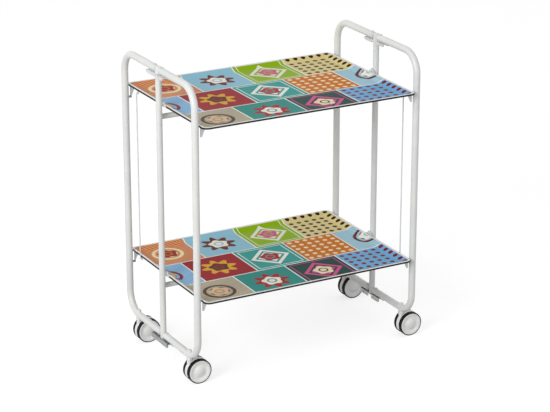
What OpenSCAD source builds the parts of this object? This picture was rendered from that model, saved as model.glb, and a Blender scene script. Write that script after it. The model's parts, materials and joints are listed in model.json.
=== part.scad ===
// Folding serving cart: two tilting trays on a centre frame, four hinged tube leaves, four twin-wheel casters.
// X runs along the cart, the front is towards -Y, Z is up and the floor is Z = 0.
// The origin is the middle of the footprint, with all four casters trailing towards +X.

/* [Frame] */
// Distance between the planes of the two end frames
frame_l = 630; // [560:5:760]
// Distance between the front and the back upright of an end frame
frame_w = 396; // [370:2:460]
// Clear height between the wheels' tops and the lower bars
bar_lift = 5; // [4.5:0.1:12]
// Distance between the centre lines of the lower and the upper bars
bar_rise = 710; // [680:2:800]
// Outer diameter of the leaf tubes
tube_d = 18; // [16:0.5:20]
// Wall of all tubes
tube_wall = 1.5; // [1:0.1:2]
// Centre-line radius of the bends in the leaf tubes
bend_r = 54; // [40:1:60]
// Outer diameter of the two centre posts
post_d = 16; // [14:0.5:18]
// Outer diameter of the two rails that join the posts
rail_d = 14; // [10:0.5:16]
// Distance of each rail's centre line below the rim of its tray
rail_drop = 34; // [33:1:40]
// How far the posts' end caps bulge
post_dome = 4; // [2:0.5:6]
// How deep a plug or a cap sits in its tube
plug_depth = 12; // [10:0.5:16]

/* [Leaf hinges] */
// Distance of a leaf's hinge pin from the middle of the end frame
hinge_y = 20; // [19:0.5:40]
// Diameter of the hinge pins
hinge_pin_d = 6; // [4:0.5:7]
// Diameter of the hinge pins' heads
hinge_head_d = 10; // [9:0.5:11.5]
// Height of the hinge pins' heads
hinge_head_h = 1.6; // [1.2:0.1:3]
// How far a hinge bracket reaches past its pins
bracket_end = 26; // [10:1:34]
// Thickness of the hinge brackets' sheet
bracket_t = 3; // [2:0.5:4]
// Depth of the channels that the two lower brackets are bent to
low_bracket_h = 12; // [9:0.5:14]
// Depth of the channels that the two upper brackets are bent to
high_bracket_h = 8; // [6:0.5:14]
// Radius of the lower corners of a bracket's flanges
bracket_corner_r = 4; // [1:0.5:5]
// Gap between a leaf's end and the centre post
leaf_gap = 2.5; // [1:0.1:5]
// How far a leaf's end plug bulges out of the tube
plug_dome = 4; // [2:0.5:6]

/* [Trays] */
// Gap between a tray's end and the leaf tubes, in which the link rods run
tray_end_gap = 4; // [4:0.2:10]
// How far a tray reaches past the uprights' centre lines at the front and the back
tray_overhang = 23; // [12:1:30]
// Height of the lower tray's rim above the lower bars
low_tray_rise = 162; // [160:1:190]
// Depth of the upper tray's rim below the upper bars
high_tray_drop = 94; // [70:1:110]
// Depth of a tray from its rim to its floor
tray_depth = 8; // [4:0.5:8]
// Thickness of the trays' sheet
tray_t = 1; // [0.8:0.1:1.4]
// Width of the flat lip round a tray
lip_w = 7; // [5:0.5:12]
// Width of the flared band between the lip and the floor
flare_w = 22; // [14:1:34]
// Radius of a tray's corners
tray_corner_r = 16; // [9:1:18]
// Height of the folded hem round a tray
hem_h = 4; // [2.5:0.5:5]
// Height of a tray's tilt axis above its rim
pivot_rise = 4.5; // [4:0.1:7]
// Diameter of the tray pivot pins
pivot_pin_d = 5; // [4:0.5:6]
// Half width of a pivot ear
ear_half_w = 14; // [11:0.5:14]
// Thickness of ears, gussets and rod lugs
lug_t = 2; // [1.5:0.1:2.2]
// How far a corner gusset hangs below the rim
gusset_drop = 28; // [20:0.5:32]
// Length of a corner gusset at its top
gusset_l = 15; // [12:0.5:17]
// Length of a corner gusset at its foot
gusset_foot = 4; // [3:0.5:6]

/* [Link rods] */
// Diameter of the rods that link the trays
rod_d = 3; // [2:0.1:3.4]
// Distance of the rods from the uprights' centre lines
rod_inset = 44; // [30:1:80]
// Distance of a rod's hooks below the rim
rod_drop = 9; // [8:0.5:12]

/* [Casters] */
// Distance of the casters from the uprights' centre lines
caster_inset = 50; // [46:1:60]
// Distance of the wheels' axis behind the stem
caster_trail = 22; // [14:0.5:26]
// Diameter of the wheels over the tyres
wheel_d = 65; // [50:1:68]
// Width of one wheel
wheel_w = 10; // [8:0.5:12]
// Thickness of the tyres
tyre_t = 3; // [2:0.5:5]
// Thickness of the hood between the two wheels
hood_w = 13; // [10:0.5:16]
// Diameter of the swivel stems
stem_d = 8; // [6:0.5:9]
// Diameter of the sockets in the lower bars
socket_d = 13; // [12:0.5:14]
// Diameter of the axles
axle_d = 6; // [4:0.5:8]

/* [Fits] */
// Radial clearance of pins and stems in their bores
run_gap = 0.05; // [0.03:0.01:0.08]
// Gap between faces that pass each other
face_gap = 0.3; // [0.2:0.05:0.5]

/* [Hidden] */
$fn = 64;

tube_r = tube_d / 2;
post_r = post_d / 2;
rail_r = rail_d / 2;
half_l = frame_l / 2;
half_w = frame_w / 2;
wheel_r = wheel_d / 2;
low_bar_z = wheel_d + bar_lift + tube_r;
high_bar_z = low_bar_z + bar_rise;
low_rim_z = low_bar_z + low_tray_rise;
high_rim_z = high_bar_z - high_tray_drop;
// The fender of a caster's hood stands this much proud of the wheels
hood_proud = 0.6;
hood_r = wheel_r + hood_proud;
// Rounding of the hood's shoulders
hood_round = 3;
// Depth of the dish in a wheel's face
wheel_dish = 2.2;
// The hinge brackets' flanges stand this far outside the end frame's plane
bracket_out = tube_r + face_gap + bracket_t;
bracket_in = max(tube_r - 0.5, hinge_head_d / 2 + bracket_t + face_gap);
bracket_l = 2 * (hinge_y + bracket_end);
// The footprint's middle lies ahead of the frame's, because the casters all trail one way
x_max = half_l + max(bracket_out, caster_trail + hood_r);
x_min = -half_l - max(bracket_out, hood_r - caster_trail);
mid_x = -(x_max + x_min) / 2;
// Leaf tubes end short of the post by the gap and the plug's bulge
leaf_end_y = post_r + leaf_gap;
tube_end_y = leaf_end_y + plug_dome;
// The trays' ends pass inside the tubes, with the rods in the gap between
tray_l = frame_l - tube_d - 2 * tray_end_gap;
tray_w = frame_w + 2 * tray_overhang;
tray_end = tray_l / 2;
rod_x = (tray_end + half_l - tube_r) / 2;
rod_y = half_w - rod_inset;
caster_y = half_w - caster_inset;
// The rails lie behind the posts and are let into them by the cope
rail_cope = 0.4;
rail_y = post_r + rail_r - rail_cope;
rail_end_x = half_l - 3;
hook_r = 0.8 * rod_d;
gusset_y = min(half_w, tray_w / 2 - tray_corner_r - lug_t / 2);
// The flare's two arcs meet half way; they start a hair above the rim, so that they cross its plane
flare_start = 0.02;
flare_r = (pow(flare_w, 2) + pow(tray_depth + flare_start, 2)) / (4 * (tray_depth + flare_start));
gusset_dip = flare_r - sqrt(pow(flare_r, 2) - pow(gusset_l + tray_t - lip_w, 2));
low_bracket_z = low_bar_z - tube_r - face_gap;
high_bracket_z = high_bar_z - tube_r - face_gap;
post_bottom_z = low_bracket_z - bracket_t;
post_top_z = high_bar_z + tube_r - post_dome;
stem_top_z = low_bar_z + tube_r + 1;
socket_bottom_z = low_bar_z - tube_r - 1.5;
hood_top_z = socket_bottom_z - face_gap;
// How deep a stem is pressed into its hood
stem_depth = 12;
rest_r = 3;
white = [0.93, 0.93, 0.92];
steel = [0.72, 0.73, 0.74];

// Sets the frame's middle on the footprint's middle
module on_floor() translate([mid_x, 0, 0]) children();

// Places a piece at an end of the cart: side is -1 on the left and 1 on the right
module at_end(side) on_floor() translate([side * half_l, 0, 0]) children();

// A flat rectangle with rounded corners
module round_rect(l, w, r) {
    translate([r - l / 2, -w / 2]) square([l - 2 * r, w]);
    translate([-l / 2, r - w / 2]) square([l, w - 2 * r]);
    for (x = [-1, 1], y = [-1, 1]) translate([x * (l / 2 - r), y * (w / 2 - r)]) circle(r);
}

// Centre frame

module post(side) color(white) at_end(side) translate([0, 0, post_bottom_z]) difference() {
    cylinder(r = post_r, h = post_top_z - post_bottom_z);
    translate([0, 0, -1]) cylinder(r = post_r - tube_wall, h = post_top_z - post_bottom_z + 2);
}

module rail(rim_z) color(white) on_floor() difference() {
    translate([-rail_end_x, rail_y, rim_z - rail_drop]) rotate([0, 90, 0]) difference() {
        cylinder(r = rail_r, h = 2 * rail_end_x);
        translate([0, 0, 4]) cylinder(r = rail_r - tube_wall, h = 2 * rail_end_x - 8);
    }
    for (side = [-1, 1]) translate([side * half_l, 0, rim_z - rail_drop - rail_r - 1])
        cylinder(r = post_r, h = rail_d + 2);
}

// A channel under the tube ends, open below and at both ends, h deep; top is its top face
module hinge_bracket(side, top, h) color(white) at_end(side) mirror([1 - side, 0, 0]) difference() {
    intersection() {
        translate([0, bracket_l / 2, top]) rotate([90, 0, 0]) linear_extrude(bracket_l) difference() {
            translate([-bracket_in, -h]) square([bracket_in + bracket_out, h]);
            translate([bracket_t - bracket_in, -h - 1])
                square([bracket_in + bracket_out - 2 * bracket_t, h + 1 - bracket_t]);
        }
        translate([-bracket_in - 1, 0, top]) rotate([90, 0, 90]) linear_extrude(bracket_in + bracket_out + 2)
            union() {
                translate([-bracket_l / 2, bracket_corner_r - h]) square([bracket_l, h - bracket_corner_r]);
                translate([bracket_corner_r - bracket_l / 2, -h])
                    square([bracket_l - 2 * bracket_corner_r, bracket_corner_r]);
                for (y = [-1, 1]) translate([y * (bracket_l / 2 - bracket_corner_r), bracket_corner_r - h])
                    circle(bracket_corner_r);
            }
    }
    translate([0, 0, top - bracket_t - 1]) cylinder(r = post_r, h = bracket_t + 2);
    // The inner flange is open at the post
    translate([-bracket_in - 1, -post_r - 1, top - h - 1]) cube([bracket_in + 1, 2 * post_r + 2, h + 1 - bracket_t]);
    for (y = [-1, 1]) translate([0, y * hinge_y, top - bracket_t - 1])
        cylinder(r = hinge_pin_d / 2, h = bracket_t + 2);
}

// One pin through a leaf's bar and the bracket below it; bar_z is the bar's centre height
module hinge_pin(bar_z) {
    foot = bar_z - tube_r - face_gap - bracket_t;
    head = bar_z + tube_r + face_gap;
    translate([0, 0, foot - hinge_head_h]) cylinder(d = hinge_head_d, h = hinge_head_h);
    translate([0, 0, foot - 0.1]) cylinder(d = hinge_pin_d, h = head - foot + 0.2);
    translate([0, 0, head]) rotate_extrude() intersection() {
        square([hinge_head_d / 2, hinge_head_h]);
        translate([0, hinge_head_h - hinge_head_d]) circle(hinge_head_d);
    }
}

module leaf_hinge_pins() color(steel) for (side = [-1, 1]) at_end(side)
    for (y = [-1, 1], bar_z = [low_bar_z, high_bar_z]) translate([0, y * hinge_y, 0]) hinge_pin(bar_z);

// Rounded plugs that close the posts at the top and at the bottom
module post_caps() color(white) for (side = [-1, 1]) at_end(side) {
    translate([0, 0, post_top_z]) post_cap();
    translate([0, 0, post_bottom_z]) mirror([0, 0, 1]) post_cap();
}

module post_cap() {
    translate([0, 0, -plug_depth]) cylinder(r = post_r - tube_wall, h = plug_depth + 0.1);
    rotate_extrude() intersection() {
        square([post_r, post_dome]);
        translate([0, post_dome - 2 * post_r]) circle(2 * post_r);
    }
}

// Stub pins on the posts that carry the trays' ears
module tray_pivot_pins() color(steel) for (side = [-1, 1], rim_z = [low_rim_z, high_rim_z])
    at_end(side) mirror([1 - side, 0, 0]) translate([0, 0, rim_z + pivot_rise]) difference() {
        union() {
            rotate([0, -90, 0]) cylinder(d = pivot_pin_d, h = half_l - tray_end + lug_t);
            rotate([0, -90, 0]) cylinder(d = pivot_pin_d + 3, h = half_l - tray_end - lug_t - face_gap);
            translate([tray_end - half_l - face_gap, 0, 0]) rotate([0, -90, 0])
                cylinder(r = pivot_rise - 0.7, h = lug_t);
        }
        translate([0, 0, -10]) cylinder(r = post_r, h = 20);
    }

// Leaves

// The centre line of a leaf as a round bar of radius r, from the middle outwards to +Y and back
module c_bar(r) {
    run = half_w - bend_r - tube_end_y;
    for (z = [low_bar_z, high_bar_z]) translate([0, tube_end_y, z]) rotate([-90, 0, 0]) cylinder(r = r, h = run);
    translate([0, half_w, low_bar_z + bend_r]) cylinder(r = r, h = high_bar_z - low_bar_z - 2 * bend_r);
    translate([0, half_w - bend_r, high_bar_z - bend_r]) rotate([90, 0, 90])
        rotate_extrude(angle = 90) translate([bend_r, 0]) circle(r);
    translate([0, half_w - bend_r, low_bar_z + bend_r]) rotate([90, 0, 90])
        rotate_extrude(angle = -90) translate([bend_r, 0]) circle(r);
}

// front is -1 on the front leaves and 1 on the back leaves
module leaf(side, front) color(white) at_end(side) mirror([0, 1 - front, 0]) difference() {
    c_bar(tube_r);
    c_bar(tube_r - tube_wall);
    for (z = [low_bar_z, high_bar_z]) {
        translate([0, tube_end_y - 1, z]) rotate([-90, 0, 0]) cylinder(r = tube_r - tube_wall, h = 2);
        translate([0, hinge_y, z - tube_d]) cylinder(r = hinge_pin_d / 2 + run_gap, h = 2 * tube_d);
    }
    translate([0, caster_y, low_bar_z - tube_d]) cylinder(d = socket_d, h = 2 * tube_d);
}

// Rounded plugs in the open ends of a leaf, which the hinge pins pass through
module leaf_plugs(side, front) color(white) at_end(side) mirror([0, 1 - front, 0])
    for (z = [low_bar_z, high_bar_z]) difference() {
        translate([0, tube_end_y, z]) rotate([90, 0, 0]) {
            translate([0, 0, -plug_depth]) cylinder(r = tube_r - tube_wall, h = plug_depth + 0.1);
            rotate_extrude() intersection() {
                square([tube_r, plug_dome]);
                translate([0, plug_dome - 1.4 * tube_r]) circle(1.4 * tube_r);
            }
        }
        translate([0, hinge_y, z - tube_d]) cylinder(r = hinge_pin_d / 2 + run_gap, h = 2 * tube_d);
    }

// A sleeve through the lower bar that takes a caster's stem, with a domed top
module caster_socket(side, front) color(white) at_end(side) translate([0, front * caster_y, 0]) difference() {
    union() {
        translate([0, 0, socket_bottom_z]) cylinder(d = socket_d, h = stem_top_z - socket_bottom_z + 1);
        translate([0, 0, stem_top_z + 1]) rotate_extrude() intersection() {
            square([socket_d / 2, 3]);
            translate([0, 3 - socket_d]) circle(socket_d);
        }
    }
    translate([0, 0, socket_bottom_z - 1]) cylinder(r = stem_d / 2 + run_gap, h = stem_top_z - socket_bottom_z + 1.3);
}

// Studs on a back leaf's upright, on which the rear corners of both trays lie
module tray_rests(side) color(steel) at_end(side) mirror([1 - side, 0, 0])
    for (rim_z = [low_rim_z, high_rim_z]) difference() {
        translate([0, gusset_y, rim_z - gusset_drop - face_gap - rest_r]) rotate([0, -90, 0])
            cylinder(r = rest_r, h = half_l - tray_end + tray_t + gusset_foot / 2 + 1);
        translate([0, half_w, rim_z - 60]) cylinder(r = tube_r, h = 100);
    }

// Casters, all trailing towards +X

module at_caster(side, front) at_end(side) translate([0, front * caster_y, 0]) children();
module at_axle(side, front) at_caster(side, front) translate([caster_trail, 0, wheel_r]) rotate([90, 0, 0]) children();

module stem(side, front) color(steel) at_caster(side, front)
    translate([0, 0, hood_top_z - stem_depth]) cylinder(d = stem_d, h = stem_top_z - hood_top_z + stem_depth);

// Half profile of a hood's fender, with rounded shoulders
module hood_profile() {
    square([hood_r - hood_round, hood_w]);
    translate([0, hood_round]) square([hood_r, hood_w - 2 * hood_round]);
    for (z = [hood_round, hood_w - hood_round]) translate([hood_r - hood_round, z]) circle(hood_round);
}

// The body between the wheels: a round fender with a neck and a collar round the stem
module hood(side, front) color(white) difference() {
    union() {
        at_axle(side, front) difference() {
            translate([0, 0, -hood_w / 2]) rotate_extrude() hood_profile();
            translate([-2 * wheel_r, -2 * wheel_r, -hood_w]) cube([4 * wheel_r, 1.55 * wheel_r, 2 * hood_w]);
        }
        at_caster(side, front) translate([0, 0, wheel_r]) cylinder(r = hood_w / 2 - 0.5, h = hood_top_z - wheel_r);
        at_caster(side, front) translate([0, 0, hood_top_z - 3]) cylinder(d = socket_d + 3, h = 3);
    }
    at_axle(side, front) translate([0, 0, -hood_w]) cylinder(r = axle_d / 2 + run_gap, h = 2 * hood_w);
    at_caster(side, front) translate([0, 0, hood_top_z - stem_depth]) cylinder(d = stem_d, h = 2 * stem_depth);
}

module axle(side, front) color(steel) at_axle(side, front)
    translate([0, 0, -hood_w / 2 - face_gap - wheel_w + 3])
        cylinder(d = axle_d, h = hood_w + 2 * face_gap + 2 * wheel_w - 6);

// Half profile of a wheel from its inner face outwards, without its tyre: a domed boss, a dish and a
// bead with a fine groove
module wheel_profile() {
    rim_r = wheel_r - tyre_t;
    dish_w = rim_r * 0.47;
    dish_r = (pow(dish_w / 2, 2) + pow(wheel_dish, 2)) / (2 * wheel_dish);
    difference() {
        square([rim_r, wheel_w]);
        square([axle_d / 2, wheel_w - 3]);
        translate([rim_r * 0.38 + dish_w / 2, wheel_w - wheel_dish + dish_r]) circle(dish_r);
        translate([rim_r * 0.92, wheel_w]) circle(0.5);
        translate([rim_r * 0.5, -1]) square([rim_r * 0.36, 3]);
    }
    intersection() {
        translate([0, wheel_w - wheel_dish]) square([rim_r * 0.38, wheel_dish + 3]);
        translate([0, wheel_w + 2 - rim_r]) circle(rim_r);
    }
}

module wheels(side, front) color(white) at_axle(side, front) for (face = [-1, 1])
    mirror([0, 0, 1 - face]) translate([0, 0, hood_w / 2 + face_gap]) rotate_extrude() wheel_profile();

module tyres(side, front) color([0.1, 0.1, 0.1]) at_axle(side, front) for (face = [-1, 1])
    mirror([0, 0, 1 - face]) translate([0, 0, hood_w / 2 + face_gap]) rotate_extrude()
        translate([wheel_r - tyre_t, 0]) difference() {
            square([tyre_t, wheel_w]);
            translate([tyre_t - 1, wheel_w - 1]) difference() {
                square([1.1, 1.1]);
                circle(1);
            }
        }

// Trays

// Section across the pressed recess, up to the height top; edge is where the flare meets the lip
module recess_profile(edge, top) for (half = [0, 1]) mirror([half, 0]) {
    foot = edge - flare_w;
    middle = edge - flare_w / 2;
    translate([0, -tray_depth]) square([foot, tray_depth + top]);
    intersection() {
        translate([foot, flare_r - tray_depth]) circle(flare_r);
        translate([foot, -tray_depth]) square([flare_w / 2, tray_depth + top]);
    }
    difference() {
        translate([middle, -tray_depth]) square([flare_w / 2, tray_depth + top]);
        translate([edge, flare_start - flare_r]) circle(flare_r);
    }
}

// The pressed recess, with its flares mitred at the corners
module recess(top) intersection() {
    rotate([90, 0, 0]) linear_extrude(tray_w, center = true) recess_profile(tray_l / 2 - lip_w, top);
    rotate([90, 0, 90]) linear_extrude(tray_l, center = true) recess_profile(tray_w / 2 - lip_w, top);
}

module tray(rim_z) color([0.55, 0.75, 0.3]) on_floor() translate([0, 0, rim_z]) difference() {
    union() {
        translate([0, 0, -tray_t]) linear_extrude(tray_t) round_rect(tray_l, tray_w, tray_corner_r);
        translate([0, 0, -hem_h]) linear_extrude(hem_h) difference() {
            round_rect(tray_l, tray_w, tray_corner_r);
            round_rect(tray_l - 2 * tray_t, tray_w - 2 * tray_t, tray_corner_r - tray_t);
        }
        translate([0, 0, -tray_t]) recess(tray_t / 2);
    }
    recess(1);
}

// Plates on the middle of the trays' short ends that turn on the pivot pins
module tray_ears(rim_z) color(white) for (side = [-1, 1]) at_end(side) mirror([1 - side, 0, 0])
    translate([tray_end - half_l + lug_t, 0, rim_z]) rotate([0, -90, 0]) linear_extrude(lug_t) difference() {
        union() {
            translate([-hem_h, -ear_half_w]) square([hem_h, 2 * ear_half_w]);
            polygon([[0, -ear_half_w], [pivot_rise + 2, -5], [pivot_rise + 2, 5], [0, ear_half_w]]);
            translate([pivot_rise, 0]) circle(5.5);
        }
        translate([pivot_rise, 0]) circle(pivot_pin_d / 2 + run_gap);
    }

// Plates under the lip beside the uprights
module tray_gussets(rim_z) color(white) for (side = [-1, 1]) at_end(side) mirror([1 - side, 0, 0])
    for (y = [-1, 1]) translate([tray_end - half_l - tray_t, y * gusset_y + lug_t / 2, rim_z - tray_t])
        rotate([90, 0, 0]) linear_extrude(lug_t) polygon([[0, 0], [0, tray_t - gusset_drop],
            [-gusset_foot, tray_t - gusset_drop], [-gusset_l, -gusset_dip], [tray_t - lip_w, 0]]);

// Lugs for the link rods: back left and front right; the lower ones are open by hole_gap
module rod_lugs(rim_z, hole_gap) color(white) for (side = [-1, 1]) at_end(side) mirror([1 - side, 0, 0])
    translate([tray_end - half_l - tray_t, -side * rod_y, rim_z]) rotate([0, -90, 0])
        linear_extrude(lug_t) difference() {
            union() {
                translate([-rod_drop, -5]) square([rod_drop - tray_t, 10]);
                translate([-rod_drop, 0]) circle(5);
            }
            translate([-rod_drop, 0]) circle(rod_d / 2 + hole_gap);
        }

// A straight rod with a hook at each end that points inwards
module link_rod(side) color(steel) at_end(side) mirror([1 - side, 0, 0])
    translate([rod_x - half_l, -side * rod_y, 0]) {
        low = low_rim_z - rod_drop;
        high = high_rim_z - rod_drop;
        translate([0, 0, low + hook_r]) cylinder(d = rod_d, h = high - low - 2 * hook_r);
        translate([-hook_r, 0, high - hook_r]) rotate([90, 0, 0])
            rotate_extrude(angle = 90) translate([hook_r, 0]) circle(d = rod_d);
        translate([-hook_r, 0, low + hook_r]) rotate([90, 0, 0])
            rotate_extrude(angle = -90) translate([hook_r, 0]) circle(d = rod_d);
        for (z = [low, high]) translate([-hook_r, 0, z]) rotate([0, -90, 0])
            cylinder(d = rod_d, h = rod_x - hook_r - tray_end + tray_t + lug_t + 2);
    }

module left_post() post(-1);
module right_post() post(1);
module upper_rail() rail(high_rim_z);
module lower_rail() rail(low_rim_z);
module left_top_bracket() hinge_bracket(-1, high_bracket_z, high_bracket_h);
module right_top_bracket() hinge_bracket(1, high_bracket_z, high_bracket_h);
module left_bottom_bracket() hinge_bracket(-1, low_bracket_z, low_bracket_h);
module right_bottom_bracket() hinge_bracket(1, low_bracket_z, low_bracket_h);
module front_left_leaf() leaf(-1, -1);
module back_left_leaf() leaf(-1, 1);
module front_right_leaf() leaf(1, -1);
module back_right_leaf() leaf(1, 1);
module front_left_plugs() leaf_plugs(-1, -1);
module back_left_plugs() leaf_plugs(-1, 1);
module front_right_plugs() leaf_plugs(1, -1);
module back_right_plugs() leaf_plugs(1, 1);
module front_left_socket() caster_socket(-1, -1);
module back_left_socket() caster_socket(-1, 1);
module front_right_socket() caster_socket(1, -1);
module back_right_socket() caster_socket(1, 1);
module back_left_rests() tray_rests(-1);
module back_right_rests() tray_rests(1);
module front_left_stem() stem(-1, -1);
module back_left_stem() stem(-1, 1);
module front_right_stem() stem(1, -1);
module back_right_stem() stem(1, 1);
module front_left_hood() hood(-1, -1);
module back_left_hood() hood(-1, 1);
module front_right_hood() hood(1, -1);
module back_right_hood() hood(1, 1);
module front_left_axle() axle(-1, -1);
module back_left_axle() axle(-1, 1);
module front_right_axle() axle(1, -1);
module back_right_axle() axle(1, 1);
module front_left_wheels() wheels(-1, -1);
module back_left_wheels() wheels(-1, 1);
module front_right_wheels() wheels(1, -1);
module back_right_wheels() wheels(1, 1);
module front_left_tyres() tyres(-1, -1);
module back_left_tyres() tyres(-1, 1);
module front_right_tyres() tyres(1, -1);
module back_right_tyres() tyres(1, 1);
module upper_tray() tray(high_rim_z);
module lower_tray() tray(low_rim_z);
module upper_tray_ears() tray_ears(high_rim_z);
module lower_tray_ears() tray_ears(low_rim_z);
module upper_tray_gussets() tray_gussets(high_rim_z);
module lower_tray_gussets() tray_gussets(low_rim_z);
module upper_rod_lugs() rod_lugs(high_rim_z, run_gap);
module lower_rod_lugs() rod_lugs(low_rim_z, 3 * face_gap);
module left_link_rod() link_rod(-1);
module right_link_rod() link_rod(1);

left_post();
right_post();
upper_rail();
lower_rail();
left_top_bracket();
right_top_bracket();
left_bottom_bracket();
right_bottom_bracket();
leaf_hinge_pins();
post_caps();
tray_pivot_pins();
front_left_leaf();
back_left_leaf();
front_right_leaf();
back_right_leaf();
front_left_plugs();
back_left_plugs();
front_right_plugs();
back_right_plugs();
front_left_socket();
back_left_socket();
front_right_socket();
back_right_socket();
back_left_rests();
back_right_rests();
front_left_stem();
back_left_stem();
front_right_stem();
back_right_stem();
front_left_hood();
back_left_hood();
front_right_hood();
back_right_hood();
front_left_axle();
back_left_axle();
front_right_axle();
back_right_axle();
front_left_wheels();
back_left_wheels();
front_right_wheels();
back_right_wheels();
front_left_tyres();
back_left_tyres();
front_right_tyres();
back_right_tyres();
upper_tray();
lower_tray();
upper_tray_ears();
lower_tray_ears();
upper_tray_gussets();
lower_tray_gussets();
upper_rod_lugs();
lower_rod_lugs();
left_link_rod();
right_link_rod();
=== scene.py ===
# Looks for the folding serving cart: finishes for the CAD pieces, printed trays, floor, light and camera.
import json

import bmesh
import bpy
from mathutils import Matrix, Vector


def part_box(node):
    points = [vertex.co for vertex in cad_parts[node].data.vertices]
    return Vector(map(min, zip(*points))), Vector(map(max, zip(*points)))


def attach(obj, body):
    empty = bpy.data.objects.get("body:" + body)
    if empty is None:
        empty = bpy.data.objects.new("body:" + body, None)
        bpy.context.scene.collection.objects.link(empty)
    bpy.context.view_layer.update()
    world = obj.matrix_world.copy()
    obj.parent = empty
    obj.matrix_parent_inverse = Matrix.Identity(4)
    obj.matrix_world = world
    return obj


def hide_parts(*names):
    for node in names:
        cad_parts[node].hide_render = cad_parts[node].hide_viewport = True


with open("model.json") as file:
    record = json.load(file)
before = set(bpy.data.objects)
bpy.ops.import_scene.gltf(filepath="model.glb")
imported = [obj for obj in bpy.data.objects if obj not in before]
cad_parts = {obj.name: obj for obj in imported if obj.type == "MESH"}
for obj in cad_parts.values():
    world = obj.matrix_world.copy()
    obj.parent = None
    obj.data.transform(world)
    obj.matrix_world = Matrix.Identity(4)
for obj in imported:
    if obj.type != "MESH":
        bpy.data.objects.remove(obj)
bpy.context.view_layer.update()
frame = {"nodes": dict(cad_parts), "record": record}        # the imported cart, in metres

mm = 0.001
scene = bpy.context.scene
scene.view_settings.view_transform = "Standard"
print("frame loaded:", len(frame["nodes"]), "nodes")

# The camera looks down on the cart by 20 degrees from its front left corner
cameraView = {
    "place": (-2.4633, -4.4497, 2.2272), "farthest": 100,      # metres
    "back": (-0.45389, -0.82245, 0.34286),                     # which way the camera's back points
    "lens": 135.93, "sensor": 36,                              # mm
}
cameraData = bpy.data.cameras.new("camera")
cameraData.lens = cameraView["lens"]
cameraData.sensor_width = cameraView["sensor"]
cameraData.clip_end = cameraView["farthest"]
camera = bpy.data.objects.new("camera", cameraData)
camera.location = cameraView["place"]
camera.rotation_euler = (-Vector(cameraView["back"])).to_track_quat("-Z", "Y").to_euler()
scene.collection.objects.link(camera)
scene.camera = camera
print("camera placed")


def toLinear(hexColour):
    parts = [int(hexColour[i:i + 2], 16) / 255 for i in (1, 3, 5)]
    return [p / 12.92 if p <= 0.04045 else ((p + 0.055) / 1.055) ** 2.4 for p in parts] + [1.0]


def addNode(tree, kind, settings=None, inputs=None):
    node = tree.nodes.new("ShaderNode" + kind)
    for name, value in (settings or {}).items():
        setattr(node, name, value)
    for socket, value in (inputs or {}).items():
        if isinstance(value, bpy.types.NodeSocket):
            tree.links.new(value, node.inputs[socket])
        else:
            node.inputs[socket].default_value = value
    return node


def fillRamp(ramp, stops, interpolation="LINEAR"):
    ramp.color_ramp.interpolation = interpolation
    elements = ramp.color_ramp.elements
    while len(elements) < len(stops):
        elements.new(0.5)
    for element, (place, hexColour) in zip(elements, stops):
        element.position = place
        element.color = toLinear(hexColour)


def startMaterial(name, fixed):
    material = bpy.data.materials.new(name)
    material.use_nodes = True
    tree = material.node_tree
    shader = tree.nodes["Principled BSDF"]
    for socket, value in fixed.items():
        shader.inputs[socket].default_value = value
    return material, tree, shader


# How each finish varies: the detail of its three noises, and where the first is all dark or all light
unevenness = {"tintDetail": 3.0, "glossDetail": 2.0, "reliefDetail": 1.0, "darkAt": 0.3, "lightAt": 0.7}


def layGlossAndRelief(tree, shader, coords, look):
    # a noise spreads the roughness and another raises the surface; a size is how many mm a patch is across
    glossPatches = addNode(tree, "TexNoise", {}, {"Vector": coords, "Scale": 1 / (look["glossSize"] * mm),
                                                  "Detail": unevenness["glossDetail"]})
    lowest, highest = look["rough"]
    spread = addNode(tree, "MapRange", {}, {"Value": glossPatches.outputs["Fac"],
                                            "To Min": lowest, "To Max": highest})
    tree.links.new(spread.outputs["Result"], shader.inputs["Roughness"])
    detail = look.get("reliefDetail", unevenness["reliefDetail"])
    reliefPatches = addNode(tree, "TexNoise", {}, {"Vector": coords, "Scale": 1 / (look["reliefSize"] * mm),
                                                   "Detail": detail})
    bump = addNode(tree, "Bump", {}, {"Height": reliefPatches.outputs["Fac"], "Strength": look["relief"],
                                      "Distance": look["reliefDepth"] * mm})
    tree.links.new(bump.outputs["Normal"], shader.inputs["Normal"])


# Polyester powder coat, sprayed and baked: even white with a soft sheen and a faint orange peel, which is
# 2 mm across on the real one and drawn coarser so that it shows
powderCoat = {"light": "#E6E7E5", "dark": "#DDDFDD", "tintSize": 60, "rough": (0.3, 0.4), "glossSize": 35,
              "reliefSize": 7, "relief": 0.12, "reliefDepth": 0.25}
# The same coat on pressed sheet and pins: thinner, so a little greyer and duller
sheetCoat = {"light": "#E0E2E1", "dark": "#D3D6D6", "tintSize": 20, "rough": (0.36, 0.5), "glossSize": 12,
             "reliefSize": 4, "relief": 0.15, "reliefDepth": 0.2}
# Zinc-plated steel: cool grey with cloudy plating and fine drawing marks
zincPlate = {"light": "#B7B9B8", "dark": "#868A8C", "tintSize": 9, "rough": (0.3, 0.48), "glossSize": 5,
             "reliefSize": 2.5, "relief": 0.2, "reliefDepth": 0.08}
# Moulded polypropylene: white, slightly waxy, with the grain of a spark-eroded mould
mouldedPlug = {"light": "#EDEDEB", "dark": "#E3E4E2", "tintSize": 15, "rough": (0.42, 0.55), "glossSize": 6,
               "reliefSize": 2, "relief": 0.2, "reliefDepth": 0.1}
# Moulded nylon caster body: polished mould, so glossier than the plugs
mouldedHood = {"light": "#F0F0EF", "dark": "#E8E9E8", "tintSize": 25, "rough": (0.18, 0.28), "glossSize": 10,
               "reliefSize": 8, "relief": 0.08, "reliefDepth": 0.15}
# Wheel discs: the same nylon, a shade warmer
mouldedWheel = {"light": "#F4F4F1", "dark": "#EBEBE8", "tintSize": 18, "rough": (0.22, 0.32), "glossSize": 9,
                "reliefSize": 6, "relief": 0.08, "reliefDepth": 0.15}
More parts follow.
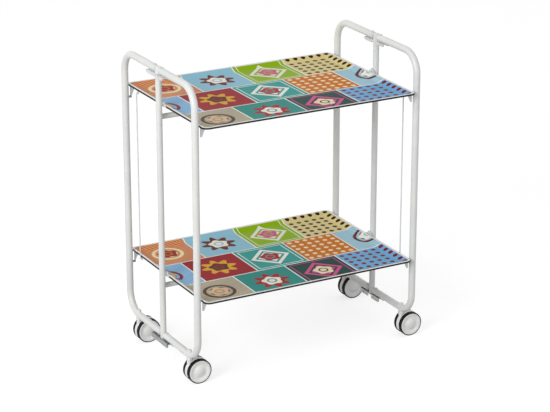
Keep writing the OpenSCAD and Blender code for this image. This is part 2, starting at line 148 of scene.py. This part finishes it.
# Soft rubber tread: black, dry and dusty where it has rolled
treadRubber = {"light": "#1B1B1D", "dark": "#0B0B0C", "tintSize": 7, "rough": (0.55, 0.8), "glossSize": 4,
               "reliefSize": 1.5, "relief": 0.35, "reliefDepth": 0.15}


def makeFinish(name, finish, fixed):
    # one noise for the colour, one for the roughness and one for the relief, each at its own real size
    material, tree, shader = startMaterial(name, fixed)
    coords = addNode(tree, "TexCoord").outputs["Object"]
    tintPatches = addNode(tree, "TexNoise", {}, {"Vector": coords, "Scale": 1 / (finish["tintSize"] * mm),
                                                 "Detail": unevenness["tintDetail"]})
    tint = addNode(tree, "ValToRGB", {}, {"Fac": tintPatches.outputs["Fac"]})
    fillRamp(tint, [(unevenness["darkAt"], finish["dark"]), (unevenness["lightAt"], finish["light"])])
    tree.links.new(tint.outputs["Color"], shader.inputs["Base Color"])
    layGlossAndRelief(tree, shader, coords, finish)
    return material


sprayed = {"IOR": 1.5, "Coat Weight": 0.15, "Coat Roughness": 0.2}
finishes = {
    "frame_paint": makeFinish("powderCoat", powderCoat, sprayed),
    "bracket_paint": makeFinish("sheetCoat", sheetCoat, {"IOR": 1.5}),
    "steel": makeFinish("zincPlate", zincPlate, {"Metallic": 1.0}),
    "plug_plastic": makeFinish("mouldedPlug", mouldedPlug, {"IOR": 1.49}),
    "hood_plastic": makeFinish("mouldedHood", mouldedHood, {"IOR": 1.53}),
    "wheel_plastic": makeFinish("mouldedWheel", mouldedWheel, {"IOR": 1.53}),
    "tyre_rubber": makeFinish("treadRubber", treadRubber, {"IOR": 1.5, "Specular IOR Level": 0.15}),
}
print("plain finishes made:", len(finishes))

# Pressed trays, all in mm but the counts of steps
trayShape = {
    "corner": 16, "cornerSteps": 10, "sheet": 0.9,               # the outline's rounding and the sheet's thickness
    "hem": 4, "roll": [(0, -1.2), (0.3, -0.35), (1.2, 0)],       # the hem's drop, and inset and height of its top
    "flareStart": 6, "flareEnd": 29, "flareSteps": 10,           # in from the outline
    "depth": 8, "lipCorner": 12, "floorCorner": 9,
}

# Printed tinplate: flat inks in a patchwork of square tiles in a running bond, each with one plain motif. It
# mirrors little, so the inks stay full, and pressed sheet is never quite flat, so its gloss waves slowly.
trayPrint = {
    "tile": 151, "row": 148, "line": 3.4,             # mm, the tiles' pitch and the white joints between them
    "edge": 1.5, "edgeLine": 7,                       # mm, the dark band painted on the hem as its shade, and the white line inside it
    "firstTile": 4, "tileStep": 5, "rowStep": 3,      # how the choice of colours steps from tile to tile
    "ringReach": 50, "ringPitch": 16.7, "ringShare": 0.55,       # reaches, pitches and waves are in mm
    "stripePitch": 11, "stripeShare": 0.42, "stripeStrength": 0.3,
    "petals": 8, "petalWave": 9, "petalReach": 40, "petalHole": 13,
    "diamondReach": 62, "diamondPitch": 22, "diamondShare": 0.6,
    "frameReach": 64, "frameHalf": 1.3,               # the thin frame round the diamonds
    "dotPitch": 24, "dotSize": 0.075,                 # the size is the square of a dot's radius in pitches
    "discWaves": 5, "discWave": 3, "discReach": 25, "smallRingReach": 11, "smallRingHalf": 2.2,
    "ground": ["#8FB60A", "#1E8C84", "#CF7310", "#64A6DA", "#9C0C1C", "#DFCF90",
               "#083F3A", "#93C6DA", "#A99C7C", "#2F9D97", "#86AE06", "#6FAEDB"],
    "motif": ["#EFEADB", "#A81018", "#F4E2B6", "#F1ECDA", "#DDA827", "#3A120E",
              "#D24F8C", "#6B2A14", "#54392A", "#F2F0E8", "#B92F3D", "#801A1A"],
    "heart": ["#DA5590", "#F1ECE0", "#932A1B", "#B42626", "#5E2410", "#DE8C18",
              "#EFDDB8", "#F5F1E4", "#E2BC96", "#B31C28", "#F3EBD2", "#E4B63E"],
    # the hem's ink is painted shade: a near-black band that stands in for the shade on the hem's sides and roll
    "hem": "#2B2C30", "white": "#F5F5F2",
    "rough": (0.3, 0.42), "glossSize": 40, "reliefSize": 130, "relief": 0.3, "reliefDepth": 1.5,
    "reliefDetail": 0.0,
}


def makePrint(middle, length, width):
    look = trayPrint
    material, tree, shader = startMaterial("printedTray", {"IOR": 1.45, "Specular IOR Level": 0.05})
    coords = addNode(tree, "TexCoord").outputs["Object"]
    place = addNode(tree, "SeparateXYZ", {}, {"Vector": coords})
    colours = len(look["ground"])
    corner = trayShape["corner"] * mm

    # Each line is one Math node: the name of its result, what it does, and the numbers or earlier results
    # that it works on. A mask is 1 where its shape is printed and 0 elsewhere, and less where it is pale.
    sums = [
        # the row and the tile that a point is on
        ("x", "SUBTRACT", "objectX", middle),
        ("fromFront", "ADD", "y", width / 2),
        ("rows", "DIVIDE", "fromFront", look["row"] * mm),
        ("row", "FLOOR", "rows"),
        ("oddRow", "MODULO", "row", 2),
        ("halfTile", "MULTIPLY", "oddRow", 0.5),
        ("shift", "ADD", "halfTile", look["firstTile"]),
        ("fromLeft", "ADD", "x", length / 2),
        ("tilesFromLeft", "DIVIDE", "fromLeft", look["tile"] * mm),
        ("tiles", "ADD", "tilesFromLeft", "shift"),
        ("tile", "FLOOR", "tiles"),
        # where it is on its tile, in mm from the middle
        ("tilePart", "FRACT", "tiles"),
        ("tileOffset", "SUBTRACT", "tilePart", 0.5),
        ("across", "MULTIPLY", "tileOffset", look["tile"]),
        ("rowPart", "FRACT", "rows"),
        ("rowOffset", "SUBTRACT", "rowPart", 0.5),
        ("along", "MULTIPLY", "rowOffset", look["row"]),
        ("farX", "ABSOLUTE", "across"),
        ("farY", "ABSOLUTE", "along"),
        ("acrossSquared", "MULTIPLY", "across", "across"),
        ("alongSquared", "MULTIPLY", "along", "along"),
        ("distanceSquared", "ADD", "acrossSquared", "alongSquared"),
        ("distance", "SQRT", "distanceSquared"),
        ("angle", "ARCTAN2", "along", "across"),
        # the tile's colours and its kind of motif
        ("tileSteps", "MULTIPLY", "tile", look["tileStep"]),
        ("rowSteps", "MULTIPLY", "row", look["rowStep"]),
        ("steps", "ADD", "tileSteps", "rowSteps"),
        ("pick", "MODULO", "steps", colours),
        ("pickMiddle", "ADD", "pick", 0.5),
        ("colourPlace", "DIVIDE", "pickMiddle", colours),
        ("pickAndRow", "ADD", "pick", "row"),
        ("kind", "MODULO", "pickAndRow", 4),
        ("ringTile", "COMPARE", "kind", 0, 0.5),
        ("petalTile", "COMPARE", "kind", 1, 0.5),
        ("diamondTile", "COMPARE", "kind", 2, 0.5),
        ("dotTile", "COMPARE", "kind", 3, 0.5),
        # rings, on a ground with pale slanting stripes
        ("inRings", "LESS_THAN", "distance", look["ringReach"]),
        ("ringCount", "DIVIDE", "distance", look["ringPitch"]),
        ("ringPart", "FRACT", "ringCount"),
        ("onRing", "LESS_THAN", "ringPart", look["ringShare"]),
        ("rings", "MULTIPLY", "inRings", "onRing"),
        ("ringMask", "MULTIPLY", "rings", "ringTile"),
        ("slantPlace", "ADD", "across", "along"),
        ("stripeCount", "DIVIDE", "slantPlace", look["stripePitch"]),
        ("stripePart", "FRACT", "stripeCount"),
        ("onStripe", "LESS_THAN", "stripePart", look["stripeShare"]),
        ("stripes", "MULTIPLY", "onStripe", "ringTile"),
        ("stripeMask", "MULTIPLY", "stripes", look["stripeStrength"]),
        # a flower of petals
        ("petalAngle", "MULTIPLY", "angle", look["petals"]),
        ("petalCosine", "COSINE", "petalAngle"),
        ("petalBulge", "MULTIPLY", "petalCosine", look["petalWave"]),
        ("petalEdge", "ADD", "petalBulge", look["petalReach"]),
        ("inPetals", "LESS_THAN", "distance", "petalEdge"),
        ("pastHole", "GREATER_THAN", "distance", look["petalHole"]),
        ("petals", "MULTIPLY", "inPetals", "pastHole"),
        ("petalMask", "MULTIPLY", "petals", "petalTile"),
        # nested diamonds in a thin square frame
        ("slant", "ADD", "farX", "farY"),
        ("inDiamonds", "LESS_THAN", "slant", look["diamondReach"]),
        ("diamondCount", "DIVIDE", "slant", look["diamondPitch"]),
        ("diamondPart", "FRACT", "diamondCount"),
        ("onDiamond", "LESS_THAN", "diamondPart", look["diamondShare"]),
        ("diamonds", "MULTIPLY", "inDiamonds", "onDiamond"),
        ("squareReach", "MAXIMUM", "farX", "farY"),
        ("squareFrame", "COMPARE", "squareReach", look["frameReach"], look["frameHalf"]),
        ("framedDiamonds", "MAXIMUM", "diamonds", "squareFrame"),
        ("diamondMask", "MULTIPLY", "framedDiamonds", "diamondTile"),
        # dots in rows
        ("dotCountX", "DIVIDE", "across", look["dotPitch"]),
        ("dotPartX", "FRACT", "dotCountX"),
        ("dotX", "SUBTRACT", "dotPartX", 0.5),
        ("dotXSquared", "MULTIPLY", "dotX", "dotX"),
        ("dotCountY", "DIVIDE", "along", look["dotPitch"]),
        ("dotPartY", "FRACT", "dotCountY"),
        ("dotY", "SUBTRACT", "dotPartY", 0.5),
        ("dotYSquared", "MULTIPLY", "dotY", "dotY"),
        ("dotDistance", "ADD", "dotXSquared", "dotYSquared"),
        ("dots", "LESS_THAN", "dotDistance", look["dotSize"]),
        ("dotMask", "MULTIPLY", "dots", "dotTile"),
        ("ringOrPetal", "ADD", "ringMask", "petalMask"),
        ("diamondOrDot", "ADD", "diamondMask", "dotMask"),
        ("motifMask", "ADD", "ringOrPetal", "diamondOrDot"),
        # a wavy disc in the middle of each tile but the dotted ones, with a small ring in it
        ("hasDisc", "LESS_THAN", "kind", 2.5),
        ("discAngle", "MULTIPLY", "angle", look["discWaves"]),
        ("discSine", "SINE", "discAngle"),
        ("discBulge", "MULTIPLY", "discSine", look["discWave"]),
        ("discEdge", "ADD", "discBulge", look["discReach"]),
        ("inDisc", "LESS_THAN", "distance", "discEdge"),
        ("discMask", "MULTIPLY", "inDisc", "hasDisc"),
        ("onSmallRing", "COMPARE", "distance", look["smallRingReach"], look["smallRingHalf"]),
        ("smallRingMask", "MULTIPLY", "onSmallRing", "hasDisc"),
        # the joints between the tiles
        ("jointX", "GREATER_THAN", "farX", (look["tile"] - look["line"]) / 2),
        ("jointY", "GREATER_THAN", "farY", (look["row"] - look["line"]) / 2),
        ("jointMask", "MAXIMUM", "jointX", "jointY"),
        # how far the point is in from the tray's rounded outline, in metres
        ("middleX", "ABSOLUTE", "x"),
        ("middleY", "ABSOLUTE", "y"),
        ("pastX", "SUBTRACT", "middleX", length / 2 - corner),
        ("pastY", "SUBTRACT", "middleY", width / 2 - corner),
        ("outX", "MAXIMUM", "pastX", 0),
        ("outY", "MAXIMUM", "pastY", 0),
        ("outXSquared", "MULTIPLY", "outX", "outX"),
        ("outYSquared", "MULTIPLY", "outY", "outY"),
        ("outSquared", "ADD", "outXSquared", "outYSquared"),
        ("out", "SQRT", "outSquared"),
        ("pastMost", "MAXIMUM", "pastX", "pastY"),
        ("inner", "MINIMUM", "pastMost", 0),
        ("past", "ADD", "out", "inner"),
        ("inset", "SUBTRACT", corner, "past"),
        ("edgeLineMask", "LESS_THAN", "inset", look["edgeLine"] * mm),
        # painted shade: the outer 1.5 mm, over the hem's sides and roll, is inked dark in place of their shade
        ("hemPaintedShadeMask", "LESS_THAN", "inset", look["edge"] * mm),
    ]
    results = {"objectX": place.outputs["X"], "y": place.outputs["Y"]}
    for name, operation, *values in sums:
        inputs = {i: results[v] if isinstance(v, str) else v for i, v in enumerate(values)}
        results[name] = addNode(tree, "Math", {"operation": operation}, inputs).outputs[0]

    inks = {"white": toLinear(look["white"]), "hem": toLinear(look["hem"])}
    for ink in ("ground", "motif", "heart"):
        ramp = addNode(tree, "ValToRGB", {}, {"Fac": results["colourPlace"]})
        fillRamp(ramp, [(i / colours, colour) for i, colour in enumerate(look[ink])], "CONSTANT")
        inks[ink] = ramp.outputs["Color"]
    # each ink is printed over the ones before it; the last, the dark hem band, is painted shade
    printed = inks["ground"]
    for mask, ink in (("stripeMask", "white"), ("motifMask", "motif"), ("discMask", "heart"),
                      ("smallRingMask", "ground"), ("jointMask", "white"), ("edgeLineMask", "white"),
                      ("hemPaintedShadeMask", "hem")):
        layer = addNode(tree, "Mix", {"data_type": "RGBA"},
                        {"Factor": results[mask], "A": printed, "B": inks[ink]})
        printed = layer.outputs["Result"]
    tree.links.new(printed, shader.inputs["Base Color"])
    layGlossAndRelief(tree, shader, coords, look)
    return material


# Underside of the trays: plain white lacquer over tinplate
backLacquer = {"light": "#E7E7E3", "dark": "#DDDEDA", "tintSize": 45, "rough": (0.3, 0.42), "glossSize": 30,
               "reliefSize": 90, "relief": 0.2, "reliefDepth": 0.8}


def makeTray(name, node, body, top, under):
    low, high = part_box(node)
    length, width, rim = high.x - low.x, high.y - low.y, high.z
    middle = (low.x + high.x) / 2
    look = trayShape
    bm = bmesh.new()
    bmesh.ops.create_grid(bm, x_segments=1, y_segments=1, size=0.5)
    bmesh.ops.scale(bm, vec=(length, width, 1), verts=bm.verts)
    bmesh.ops.bevel(bm, geom=bm.verts[:], offset=look["corner"] * mm, offset_type="OFFSET", affect="VERTICES",
                    segments=look["cornerSteps"], profile=0.5, material=-1)
    bmesh.ops.delete(bm, geom=bm.faces[:], context="FACES_ONLY")
    bmesh.ops.translate(bm, vec=(middle, 0, rim - look["hem"] * mm), verts=bm.verts)

    # profile of the pressed edge from the hem's foot to the floor: inset, height and corner radius in mm
    profile = [(inset, height, look["corner"] - inset) for inset, height in look["roll"]]
    profile.append((look["flareStart"], 0, look["lipCorner"]))
    for step in range(1, look["flareSteps"] + 1):
        t = step / look["flareSteps"]
        drop = t * t * (3 - 2 * t)        # an S, level at both ends
        inset = look["flareStart"] + t * (look["flareEnd"] - look["flareStart"])
        radius = look["lipCorner"] + t * (look["floorCorner"] - look["lipCorner"])
        profile.append((inset, -look["depth"] * drop, radius))

    ring = bm.edges[:]
    before = (0, -look["hem"], look["corner"])
    for inset, height, radius in profile:
        made = bmesh.ops.extrude_edge_only(bm, edges=ring)["geom"]
        ring = [g for g in made if isinstance(g, bmesh.types.BMEdge)]
        verts = list({v for e in ring for v in e.verts})
        bmesh.ops.translate(bm, vec=(0, 0, (height - before[1]) * mm), verts=verts)
        for sx in (-1, 1):
            for sy in (-1, 1):
                # each corner shrinks about its own centre, which moves with the inset
                group = [v for v in verts if (v.co.x - middle) * sx > 0 and v.co.y * sy > 0]
                centre = Vector((middle + sx * (length / 2 - (before[0] + before[2]) * mm),
                                 sy * (width / 2 - (before[0] + before[2]) * mm), 0))
                ratio = radius / before[2]
                for v in group:
                    v.co.x = centre.x + (v.co.x - centre.x) * ratio
                    v.co.y = centre.y + (v.co.y - centre.y) * ratio
                move = (inset + radius - before[0] - before[2]) * mm
                bmesh.ops.translate(bm, vec=(-sx * move, -sy * move, 0), verts=group)
        before = (inset, height, radius)
    bmesh.ops.contextual_create(bm, geom=ring)
    bmesh.ops.recalc_face_normals(bm, faces=bm.faces)
    floorFace = max(bm.faces, key=lambda f: f.calc_area())
    if floorFace.normal.z < 0:
        bmesh.ops.reverse_faces(bm, faces=bm.faces)

    mesh = bpy.data.meshes.new(name)
    bm.to_mesh(mesh)
    bm.free()
    mesh.shade_smooth()
    mesh.materials.append(top)
    mesh.materials.append(under)
    tray = bpy.data.objects.new(name, mesh)
    scene.collection.objects.link(tray)
    sheet = tray.modifiers.new("sheet", "SOLIDIFY")
    sheet.thickness = look["sheet"] * mm
    sheet.offset = -1
    sheet.material_offset = 1
    sheet.material_offset_rim = 0
    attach(tray, body)
    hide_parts(node)


upperLow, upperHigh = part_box("upper_tray")
printedTray = makePrint((upperLow.x + upperHigh.x) / 2, upperHigh.x - upperLow.x, upperHigh.y - upperLow.y)
trayBack = makeFinish("backLacquer", backLacquer, {"IOR": 1.5})
for which in ("upper", "lower"):
    makeTray(which + "PrintedTray", which + "_tray", which + "_tray_body", printedTray, trayBack)
print("trays pressed and printed")

# Every CAD node that still shows gets the finish of its slot
finishes["tray_print"] = printedTray
slotOf = {part["node"]: part["material_slot"] for part in frame["record"]["subparts"]}
for nodeName, node in frame["nodes"].items():
    node.material_slots[0].material = finishes[slotOf[nodeName]]
print("finishes laid on", len(frame["nodes"]), "nodes")


def backdropRays(tree):
    # 1 for what the camera, a reflection or a see-through piece shows, 0 for light that falls on the cart
    path = addNode(tree, "LightPath")
    shown = addNode(tree, "Math", {"operation": "MAXIMUM"}, {0: path.outputs["Is Camera Ray"],
                                                              1: path.outputs["Is Glossy Ray"]})
    seen = addNode(tree, "Math", {"operation": "MAXIMUM"}, {0: shown.outputs[0],
                                                             1: path.outputs["Is Transmission Ray"]})
    return seen.outputs[0]


# Plain pale floor, 40 m across. The lift is a glow that only what looks at it sees, so it shows white to the
# camera and keeps a soft shadow.
floorLook = {"size": 40, "colour": "#B4B4B4", "lift": 0.7}
floorMesh = bpy.data.meshes.new("floor")
bm = bmesh.new()
bmesh.ops.create_grid(bm, x_segments=1, y_segments=1, size=floorLook["size"] / 2)
bm.to_mesh(floorMesh)
bm.free()
floor = bpy.data.objects.new("floor", floorMesh)
scene.collection.objects.link(floor)
dullPaper = {"Roughness": 0.9, "Specular IOR Level": 0.0, "Base Color": toLinear(floorLook["colour"]),
             "Emission Color": (1, 1, 1, 1)}
floorMaterial, tree, shader = startMaterial("paperFloor", dullPaper)
lift = addNode(tree, "Math", {"operation": "MULTIPLY"}, {0: backdropRays(tree), 1: floorLook["lift"]})
tree.links.new(lift.outputs[0], shader.inputs["Emission Strength"])
floorMesh.materials.append(floorMaterial)

# Soft studio light: a grey surround, a broad key from the front left and a weak fill low beside the camera
studio = {"surround": 0.6, "backdrop": 1.0, "aim": (0, 0, 0.4)}
lamps = {"keyLight": {"place": (-3.6, -1.8, 2.2), "size": 1.8, "power": 98},        # metres and watts
         "fillLight": {"place": (0.2, -4.6, 0.8), "size": 2.0, "power": 14}}
world = bpy.data.worlds.new("studio")
scene.world = world
world.use_nodes = True
tree = world.node_tree
background = tree.nodes["Background"]
background.inputs["Color"].default_value = (1, 1, 1, 1)
level = addNode(tree, "MapRange", {}, {"Value": backdropRays(tree), "To Min": studio["surround"],
                                       "To Max": studio["backdrop"]})
tree.links.new(level.outputs["Result"], background.inputs["Strength"])
for name, look in lamps.items():
    lamp = bpy.data.lights.new(name, "AREA")
    lamp.size = look["size"]
    lamp.energy = look["power"]
    lampObject = bpy.data.objects.new(name, lamp)
    lampObject.location = look["place"]
    aim = Vector(studio["aim"]) - lampObject.location
    lampObject.rotation_euler = aim.to_track_quat("-Z", "Y").to_euler()
    scene.collection.objects.link(lampObject)
print("floor and light set")
